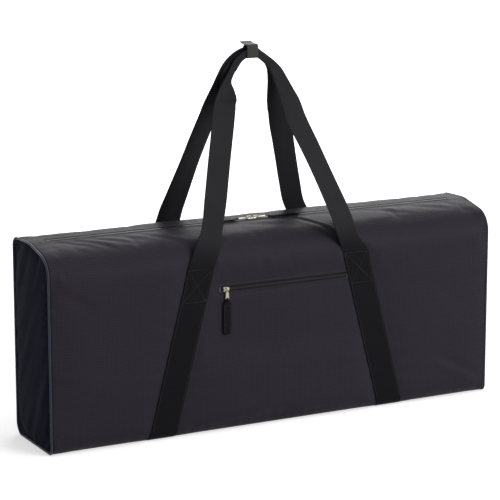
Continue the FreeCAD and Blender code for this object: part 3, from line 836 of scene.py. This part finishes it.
def strapRoute():
    low, front, back, top = strap["under"], strap["frontRadius"], strap["backRadius"], strap["joinHeight"]
    reach = -frontWall[0].y + strap["thickness"] / 2
    start, end, quarter = strap["baseStart"], strap["baseEnd"], pi / 2
    line = [(-reach, height) for height in between(top, low + front, 37)]
    line += [(start - front * cos(turn), low + front - front * sin(turn)) for turn in between(0, quarter, 8)[1:]]
    line += [(depth, low) for depth in between(start, end, 17)[1:]]
    line += [(end + back * sin(turn), low + back - back * cos(turn)) for turn in between(0, quarter, 10)[1:]]
    return line + [(reach, height) for height in between(low + back, top, 35)[1:]]


def makeStraps():
    across = [share * bandHalf for share in (-1, -0.9, -0.6, -0.3, 0, 0.3, 0.6, 0.9, 1)]
    for name, side in sides:
        rows = [[Vector((side * strapCentre(height) + x, depth, height)) for x in across]
                for depth, height in strapRoute()]
        band, length = ribbonPiece(name + "Strap", rows, across, strap["thickness"] - 0.0001, 0.0004)
        dressed(band, weave, "bag", "webbing", name + "_strap")
    print("straps sewn round")


# handles, row by row in millimetres: the outer edge's x and rise above the shoulder, the inner edge's x and rise,
# and how far the inner edge stands behind; a row narrower than the webbing is folded over at its inner edge

handle = {
    "shoulder": 0.355, "footY": 0.0788, "gripY": 0.0035, "leanRise": 0.270, "foldGap": 0.0034, "columns": 10,
    "steps": 5, "slack": 0.003, "openRise": 0.165, "sewnRows": (0.262, 0.286), "blend": (0.292, 0.312),
    "edgeShare": 0.94, "foldPower": 1.6,
}
handleRoutes = {
    "frontHandle": (-1, "front_handle", [
        (-162.3, -12.7, -115, -26.7, 4), (-150, 15.2, -103.1, 4.5, 17), (-138.8, 59.4, -91.1, 49.8, 13),
        (-130.4, 92.3, -82.6, 82.9, 13), (-122, 125.2, -74, 116.1, 13), (-113.2, 158.2, -65.1, 149.4, 13),
        (-105.4, 188, -57, 179.4, 13), (-98.9, 211.2, -50.5, 206.2, 13), (-92, 229.3, -51.9, 223.5, 6),
        (-83.2, 243.1, -57.1, 238, 0), (-72.4, 256.8, -61, 251.9, 0), (-61.9, 270.6, -54.7, 265.1, 0),
        (-56, 281.7, -46.2, 275.8, 0), (-49.7, 291.4, -38.3, 286.7, 0), (-39.8, 299.3, -30.4, 292.4, 0),
        (-28.2, 306, -21.3, 295, 0), (-17.4, 308.7, -12.4, 295.5, 0), (-6.5, 307.7, -5.5, 294.1, 0),
        (4.5, 301.9, 1.3, 290.1, 0), (15.4, 294.2, 9.3, 283.7, 0), (30.4, 282.7, 18.1, 275, 0),
        (42.5, 269.9, 23.1, 263.2, 0), (50.4, 255.2, 27.1, 249.8, 0), (60.4, 234.8, 31.2, 228.9, 0),
        (70.4, 213.5, 31.6, 206.5, -8), (82.2, 178.2, 35, 175.1, -16), (96.6, 142.6, 49.7, 141.5, -16),
        (110, 107, 63.1, 106.6, -18), (123.5, 71.4, 76.7, 71, -17), (137.6, 35.5, 89.9, 35.3, -15),
        (146.9, 7, 98.7, 8.7, -15), (159, -26.7, 114, -24.8, -7),
    ]),
    "backHandle": (1, "back_handle", [
        (-171, -18, -121, -23, 3), (-160.8, 19.9, -112.9, 9.3, 6), (-154.8, 38.4, -107.6, 26.5, 9),
        (-142.5, 75.1, -97.1, 63, 13), (-130.5, 111.6, -86.5, 99.4, 17), (-119.7, 148.1, -75.6, 136.1, 18),
        (-108.2, 184.2, -65, 170.9, 18), (-95.3, 220, -62.2, 206.9, 8), (-86.1, 243.2, -61, 230.6, 3),
        (-78.8, 263.6, -58.3, 253.2, 0), (-71.2, 279.1, -53.3, 268.3, 0), (-59, 293.3, -43.3, 280.9, 0),
        (-45.3, 303, -32.7, 289.1, 0), (-33.4, 308.5, -23.6, 294.4, 0), (-21.6, 311.7, -15.3, 296.3, 0),
        (-9.7, 311.5, -6.9, 296.2, 0), (1.2, 306.8, 0.2, 292.9, 0), (12.2, 298.2, 7.8, 286.8, 0),
        (26.2, 286.8, 14.6, 281.1, 0), (37.4, 273.3, 19.8, 270.5, 0), (48.4, 256.2, 24, 254.1, 0),
        (58.8, 235.1, 26.6, 235.5, 0), (69.1, 208.3, 27.3, 209.3, -4), (82.3, 169.7, 33, 172.6, -7),
        (94, 130.8, 45, 133.3, -9), (106, 91.4, 57.2, 94.3, -10), (119, 51.5, 70.4, 54.5, -9),
        (133.5, 10.9, 84.7, 14.3, -9), (154.5, -21, 105, -19, -4),
    ]),
}


def handleEdges(side, table):
    shoulder = handle["shoulder"]
    left, right = [], []
    for height in (strap["joinHeight"], *handle["sewnRows"], strap["sewnTop"]):
        middle, rise = strapCentre(height), height - shoulder
        left.append((-middle - bandHalf, rise, -middle + bandHalf, rise, 0.0))
        right.insert(0, (middle + bandHalf, rise, middle - bandHalf, rise, 0.0))
    rows = left + [[value / 1000 for value in row] for row in table] + right
    pairs = []
    for outX, outRise, inX, inRise, behind in rows:
        pairs.append([])
        for x, rise, extra in ((outX, outRise, 0.0), (inX, inRise, behind)):
            lean = min(max(rise / handle["leanRise"], 0), 1)
            y = side * (handle["footY"] + (handle["gripY"] - handle["footY"]) * lean)
            pairs[-1].append(Vector((x, y + extra, shoulder + rise)))
    smooth = []
    for place in range(len(pairs) - 1):
        near = [pairs[min(max(place + step, 0), len(pairs) - 1)] for step in (-1, 0, 1, 2)]
        for t in between(0, 1, handle["steps"])[:-1]:
            weights = (-0.5 * t + t * t - 0.5 * t ** 3, 1 - 2.5 * t * t + 1.5 * t ** 3,
                       0.5 * t + 2 * t * t - 1.5 * t ** 3, -0.5 * t * t + 0.5 * t ** 3)
            smooth.append([sum((pair[edge] * weight for pair, weight in zip(near, weights)), Vector())
                           for edge in (0, 1)])
    return smooth + [pairs[-1]]


def foldedRow(shown, level):
    wide, gap, columns, share = strap["width"], handle["foldGap"], handle["columns"], handle["edgeShare"]
    if level or shown >= wide - handle["slack"]:
        shares = between(0, share, columns) + between(share, 1, columns)[1:]
        return [(shown * share, 0.0, wide * share) for share in shares]
    flap = min(wide - handle["slack"] - shown, shown)
    crease, bend = wide * max(shown / (shown + flap), 0.5), pi * gap / 2
    shift = gap / 2 * min(flap / bend, 1)
    spots = [(shown * share, -shift, crease * share) for share in between(0, 1, columns)]
    for share in between(0, 1, columns)[1:]:
        past = flap * share ** handle["foldPower"]
        turn = pi * min(past / bend, 1)
        across = shown + gap / 2 * sin(turn) - max(past - bend, 0)
        spots.append((across, gap / 2 * (1 - cos(turn)) - shift, crease + (wide - crease) * past / flap))
    return spots


def makeHandles():
    for name, (side, body, table) in handleRoutes.items():
        edges = handleEdges(side, table)
        rows, flat = [], []
        for place, (outer, inner) in enumerate(edges):
            ahead, before = edges[min(place + 1, len(edges) - 1)], edges[max(place - 1, 0)]
            along = (ahead[0] + ahead[1] - before[0] - before[1]).normalized()
            inward = (inner - outer).normalized()
            facing = along.cross(inward).normalized()
            spots = foldedRow((inner - outer).length, outer.z < handle["shoulder"] + handle["openRise"])[::side]
            rows.append([outer + inward * a - facing * side * b for a, b, _ in spots])
            flat.append([spot[2] for spot in spots])
        band, length = ribbonPiece(name, rows, flat, strap["thickness"] - 0.0001, 0.0003)
        dressed(band, carried[name], None, "webbing", body)
        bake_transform(band)
        print(name, "webbing is", round(length, 3), "m long")


# wrap that ties the grips together

wrap = {
    "thickness": 0.0011, "patch": 0.0007, "edge": 0.0003, "lift": 0.0030, "drop": 0.0040, "narrow": 0.0045,
    "patchShare": 0.92, "step": 0.0008,
}


def wrapStrip(name, line, xs, thickness, finish, body, slotName, node):
    rows = [[Vector((x, y, z)) for x in xs] for y, z in line]
    strip, length = ribbonPiece(name, rows, xs, thickness, wrap["edge"])
    dressed(strip, grain[finish], body, slotName, node)
    return strip, length


def makeWrap():
    sleeve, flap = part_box("wrap_sleeve"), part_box("wrap_flap")
    half = wrap["thickness"] / 2
    low, high = sleeve[0].z + half + wrap["lift"], sleeve[1].z - half - wrap["drop"]
    back, front = sleeve[1].y - half, flap[0].y + half
    top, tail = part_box("wrap_hook_patch")[1].z + half - wrap["drop"], flap[1].z - wrap["drop"]
    broad = sleeve[1].x - wrap["narrow"] - sleeve[0].x
    xs = between(sleeve[0].x, sleeve[0].x + broad, 8)
    lines = {
        "wrapSleeve": ("back_handle", "wrap_sleeve", [
            (0.0012, high), (back - 0.003, high), (back - 0.0006, high - 0.0008), (back, high - 0.004),
            (back, low + 0.005), (back - 0.0012, low + 0.0008), (back - 0.004, low), (0.0, low - 0.0002),
            (front + 0.004, low), (front + 0.0014, low + 0.0002)]),
        "wrapFlap": ("wrap_flap", "wrap_flap", [
            (front, low + 0.0014), (front, low + 0.006), (front, top - 0.006), (front + 0.0006, top - 0.0022),
            (front + 0.003, top - 0.0002), (-0.001, top), (back - 0.001, top), (back + 0.004, top + 0.0006),
            (flap[1].y - 0.003, tail - 0.0014), (flap[1].y, tail - 0.0008)]),
    }
    for name, (body, node, points) in lines.items():
        route = smoothRoute([Vector((y, z, 0)) for y, z in points], wrap["step"])
        strip, length = wrapStrip(name, [spot.xy for spot in route], xs, wrap["thickness"], "wrapCloth", body,
                                  "wrap_cloth", node)
    inner = [x * wrap["patchShare"] + (1 - wrap["patchShare"]) * (xs[0] + xs[-1]) / 2 for x in xs]
    for name, node, finish, body, slotName in (
            ("wrapLoopPatch", "wrap_loop_patch", "loopTape", "back_handle", "loop_tape"),
            ("wrapHookPatch", "wrap_hook_patch", "hookTape", "wrap_flap", "hook_tape")):
        low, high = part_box(node)
        line = [(y, (low.z + high.z) / 2 - wrap["drop"]) for y in between(low.y, high.y, 8)]
        wrapStrip(name, line, inner, wrap["patch"] - 0.0001, finish, body, slotName, node)
    print("wrap closed")


# lining pouch behind the pocket zip

pouch = {
    "cloth": 0.0004, "sides": 0.022, "ripple": 0.0006, "room": 0.0006, "backRoom": 0.0012, "mouthLow": 0.0035,
    "mouthHigh": 0.0005, "edgeFull": 0.12, "step": 0.004, "edgeShares": (0, 0.004, 0.012, 0.03),
}


def makePouch():
    low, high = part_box("pocket_bag")
    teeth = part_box("pocket_zip_teeth_upper")
    front, back = low.y + pouch["room"], high.y - pouch["backRoom"]
    mouthLow, mouthHigh = teeth[0].z - pouch["mouthLow"], teeth[1].z + pouch["mouthHigh"]
    line = smoothRoute([Vector((y, z, 0)) for y, z in (
        (front, mouthHigh), (front, high.z - 0.003), (front + 0.0018, high.z - 0.0006),
        (back - 0.0018, high.z - 0.0008), (back, high.z - 0.004), (back, 0.22), (back - 0.0006, 0.18),
        (back, 0.14), (back - 0.0002, low.z + 0.006), (back - 0.0022, low.z + 0.0012),
        (front + 0.0022, low.z + 0.0010), (front, low.z + 0.005), (front + 0.0003, 0.15), (front, 0.20),
        (front, mouthLow))], pouch["step"])
    shares = list(pouch["edgeShares"]) + between(0.06, 0.94, 30) + [1 - share for share in pouch["edgeShares"][::-1]]
    xs = [low.x + pouch["room"] + (high.x - low.x - 2 * pouch["room"]) * share for share in shares]
    middle = (front + back) / 2
    rows = []
    for spot in line:
        rows.append([])
        for x in xs:
            side = min(x - xs[0], xs[-1] - x)
            full = pouch["edgeFull"] + (1 - pouch["edgeFull"]) * ease(side, -0.001, pouch["sides"])
            ripple = pouch["ripple"] * wave(x / 0.05, spot.y / 0.04, 3.1) * ease(side, 0.0, 0.02)
            rows[-1].append(Vector((x, middle + (spot.x - middle) * full - abs(ripple), spot.y)))
    lining, length = ribbonPiece("pocketPouch", rows, xs, pouch["cloth"])
    dressed(lining, grain["pouchLining"], "bag", "pocket_lining", "pocket_bag")
    print("pouch hung")


# packed net: one long sheet wound up, with two ties round it

netting = {
    "length": 6.7, "height": 0.756, "core": 0.005, "cloth": 0.0008, "sides": 32, "room": 0.0020, "tieWide": 0.025,
    "tieAt": 0.19, "tieThick": 0.0012, "tieCloth": 0.00084, "tieSides": 72, "tieLast": 81, "tieStart": 2.2,
    "lapFrom": 5.9, "lapTo": 2 * pi + 0.1, "tieIn": 1.35, "lapOut": 0.85,
}


def makeNet():
    low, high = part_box("net_roll")
    radius = (high.z - low.z) / 2

    def ring(turn, reach, xs):
        y, z = (low.y + high.y) / 2 + reach * sin(turn), (low.z + high.z) / 2 + reach * cos(turn)
        return [Vector((x, y, z)) for x in xs]
    core, outer = netting["core"], radius - netting["room"]
    turns = netting["length"] / (pi * (outer + core))
    xs = between(-netting["height"] / 2, netting["height"] / 2, 6)
    rows = [ring(share * turns * 2 * pi, core + (outer - core) * share, xs)
            for share in between(0, 1, round(turns * netting["sides"]))]
    sheet, length = ribbonPiece("netRoll", rows, xs, netting["cloth"])
    dressed(sheet, grain["nettingTwine"], "bag", "net_mesh", "net_roll")
    print("net rolled, sheet is", round(length, 3), "m long")
    for name, side in sides:
        middle = side * netting["tieAt"]
        xs = between(middle - netting["tieWide"] / 2, middle + netting["tieWide"] / 2, 6)
        rows = []
        for number in range(netting["tieLast"] + 1):
            turn = number / netting["tieSides"] * 2 * pi
            lap = netting["lapOut"] * ease(turn, netting["lapFrom"], netting["lapTo"])
            rows.append(ring(turn + netting["tieStart"], radius - netting["tieThick"] * (netting["tieIn"] - lap), xs))
        band, length = ribbonPiece(name + "NetTie", rows, xs, netting["tieCloth"], 0.0002)
        dressed(band, weave, "bag", "net_tie", "net_ties")
    print("net tied")


# stitching: one stitch, copied along each row

stitch = {"size": (0.0028, 0.0006, 0.0003), "pitch": 0.0040, "round": 0.45}


def oneStitch():
    bpy.ops.mesh.primitive_cube_add(size=1)
    piece = bpy.context.active_object
    choose(piece)
    bpy.ops.object.mode_set(mode="EDIT")
    bpy.ops.mesh.subdivide(number_cuts=1)
    bpy.ops.transform.tosphere(value=stitch["round"])
    bpy.ops.transform.resize(value=stitch["size"])
    bpy.ops.object.mode_set(mode="OBJECT")
    shape = [vertex.co.copy() for vertex in piece.data.vertices]
    faces = [list(face.vertices) for face in piece.data.polygons]
    bpy.data.objects.remove(piece)
    return shape, faces


def sewRows(name, rows, outward, body, thread, slotName):
    shape, pattern = stitchShape
    points, faces = [], []
    for row in rows:
        line = evenly([Vector(point) for point in row], stitch["pitch"])
        for start, end in zip(line, line[1:]):
            along = (end - start).normalized()
            up = outward(start) if callable(outward) else Vector(outward)
            across = up.cross(along).normalized()
            first, middle = len(points), (start + end) / 2
            points += [middle + along * spot.x + across * spot.y + up * spot.z for spot in shape]
            faces += [[index + first for index in face] for face in pattern]
    piece = meshPiece(name, points, faces)
    choose(piece)
    bpy.ops.object.shade_smooth()
    dressed(piece, grain[thread], body, slotName)


seams = {
    "boxLow": 0.239, "boxHigh": 0.296, "edge": 0.88, "hem": 0.0048, "footFront": 0.018, "footBack": 0.028,
    "clear": 0.0004, "tackWide": 0.0034, "tackTall": 0.0100, "tackRows": 17,
}


def sewStraps():
    low, high, edge = seams["boxLow"], seams["boxHigh"], seams["edge"]
    for name, side in sides:
        for wallName, facing, foot in (("Front", -1, seams["footFront"]), ("Back", 1, seams["footBack"])):
            depth = facing * (-frontWall[0].y + strap["thickness"])
            ends = [(-edge, low, edge, low), (-edge, high, edge, high), (-edge, low, edge, high),
                    (edge, low, -edge, high), (-edge, low, -edge, high), (edge, low, edge, high),
                    (-edge, foot, -edge, low), (edge, foot, edge, low)]
            rows = [[(side * strapCentre(height) + share * bandHalf, depth, height)
                     for share, height in (row[:2], row[2:])] for row in ends]
            sewRows(name + wallName + "StrapStitching", rows, (0, facing, 0), "bag", "stitchThread", "webbing")
    print("straps stitched")


def onWall(x, arc):
    spot, normal = wallPoint(arc)
    return x, spot.x - normal.x * seams["clear"], spot.y - normal.y * seams["clear"]


def sewHems():
    def wallOut(point):
        return Vector((0, -1, 0) if point.z < 0.3 else (0, 0, 1))
    for name, slot in (("topZip", topSlot), ("pocketZip", pocketSlot)):
        left, right, low, high = [edge + sign * seams["hem"] for edge, sign in zip(slot, (-1, 1, -1, 1))]
        rows = [[onWall(left, low), onWall(right, low)], [onWall(left, high), onWall(right, high)],
                [onWall(left, low), onWall(left, high)], [onWall(right, low), onWall(right, high)]]
        sewRows(name + "Stitching", rows, wallOut, "bag", "stitchThread", "zip_tape")
    for name, corner in zip(("left", "right"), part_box("pocket_zip_tapes")):
        ends = [corner.x + side * seams["tackWide"] / 2 for side in (-1, 1)]
        tall = seams["tackTall"] / 2
        rows = [[onWall(x, arcAtHeight(zips["pocketHeight"] + rise)) for x in ends]
                for rise in between(-tall, tall, seams["tackRows"] - 1)]
        sewRows(name + "PocketTack", rows, (0, -1, 0), "bag", "tackThread", "zip_tape")
    print("zips stitched")


# webbing pulls on the sliders, sewn into a loop: body, way along, across and up, and how far in the loop starts

pull = {
    "loop": 0.0013, "layer": 0.0009, "neck": 0.0023, "spreadAt": 0.0085, "endCut": 0.00175, "gap": 0.00065,
    "joined": 0.006, "sewnFrom": 0.012, "sewnTo": 0.006, "sewnShare": 0.72,
}
pulls = {
    "left": ((-1, 0, 0), (0, 1, 0), (0, 0, 1), 0.0019),
    "right": ((1, 0, 0), (0, 1, 0), (0, 0, 1), 0.0019),
    "pocket": ((0, 0, -1), (1, 0, 0), (0, -1, 0), 0.0016),
}


def makePull(side, along, across, up, inset):
    low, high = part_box(side + "_pull_tab")
    reach, half = abs((high - low).dot(along)), abs((high - low).dot(across)) / 2
    start = (low + high) / 2 + along * (inset - reach / 2)
    gap, loop = pull["gap"], pull["loop"]
    stops = spread([0.0, 0.004, pull["spreadAt"], reach - 0.012, reach - 0.002], 0.003)[1:]
    upper = [(place, gap + (loop - gap) * (1 - ease(place, 0.0, pull["joined"]))) for place in stops]
    bend = [(loop * cos(turn), loop * sin(turn)) for turn in between(pi / 2, 1.5 * pi, 8)]
    rows, shares = [], (-1, -0.85, -0.5, 0, 0.5, 0.85, 1)
    for place, level in upper[::-1] + bend + [(place, -level) for place, level in upper]:
        width = pull["neck"] + (half - pull["neck"]) * ease(place, 0.002, pull["spreadAt"])
        width -= pull["endCut"] * ease(place, reach - 0.007, reach - 0.002)
        rows.append([start + along * place + across * (share * width) + up * level for share in shares])
    band, _ = ribbonPiece(side + "Pull", rows, [share * half for share in shares], pull["layer"], 0.0002)
    dressed(band, weave, side + "_tab", "pull_webbing", side + "_pull_tab")
    left, right = [start + across * (share * half) + up * (gap + pull["layer"] / 2)
                   for share in (-pull["sewnShare"], pull["sewnShare"])]
    first, last = along * pull["sewnFrom"], along * (reach - pull["sewnTo"])
    rows = [[left + first, left + last], [right + first, right + last], [left + first, right + first]]
    sewRows(side + "PullStitching", rows, up, side + "_tab", "stitchThread", "pull_webbing")


makeCamera()
makeRoom()
print("camera, floor and light are up")
cloths = {"ripstop_cloth": ripstopCloth(), "end_cloth": satinCloth()}
weave = webbingWeave("webbingWeave", 0.0)
# the handle weaves carry painted light: the front handle takes the full painted highlight up its legs, the back handle
# only 0.72 of it, painted shade for its legs' shaded faces
carried = {"frontHandle": webbingWeave("frontHandlePaintedLightWeave", 1.0), "backHandle": webbingWeave("backHandlePaintedLightWeave", 0.72)}
grain = {name: grainFinish(name) for name in finishes}
stitchShape = oneStitch()
print("finishes mixed")
makeBag()
makePiping()
makeStraps()
makeHandles()
makeWrap()
makePouch()
makeNet()
sewStraps()
sewHems()
for side, (along, across, up, inset) in pulls.items():
    makePull(side, Vector(along), Vector(across), Vector(up), inset)
print("pulls looped on")

cadFinishes = {
    "boardPlastic": ["base_board"],
    "zipTape": ["top_zip_tape_front", "top_zip_tape_back", "pocket_zip_tapes"],
    "zipTeeth": ["pocket_end_stops", "top_zip_teeth_front", "top_zip_teeth_back", "pocket_zip_teeth_lower",
                 "pocket_zip_teeth_upper"],
    "nickelPlate": ["left_slider", "right_slider", "pocket_slider", "left_slider_link", "right_slider_link",
                    "pocket_slider_link", "top_zip_end_stops"],
    "powderCoat": ["base_rails", "end_posts", "centre_post", "end_feet", "centre_foot"],
    "springSteel": ["rail_snap_buttons"],
    "capPlastic": ["post_caps"],
}
for finish, names in cadFinishes.items():
    for name in names:
        for place in nodes[name].material_slots:
            place.material = grain[finish]
print("kept nodes finished")
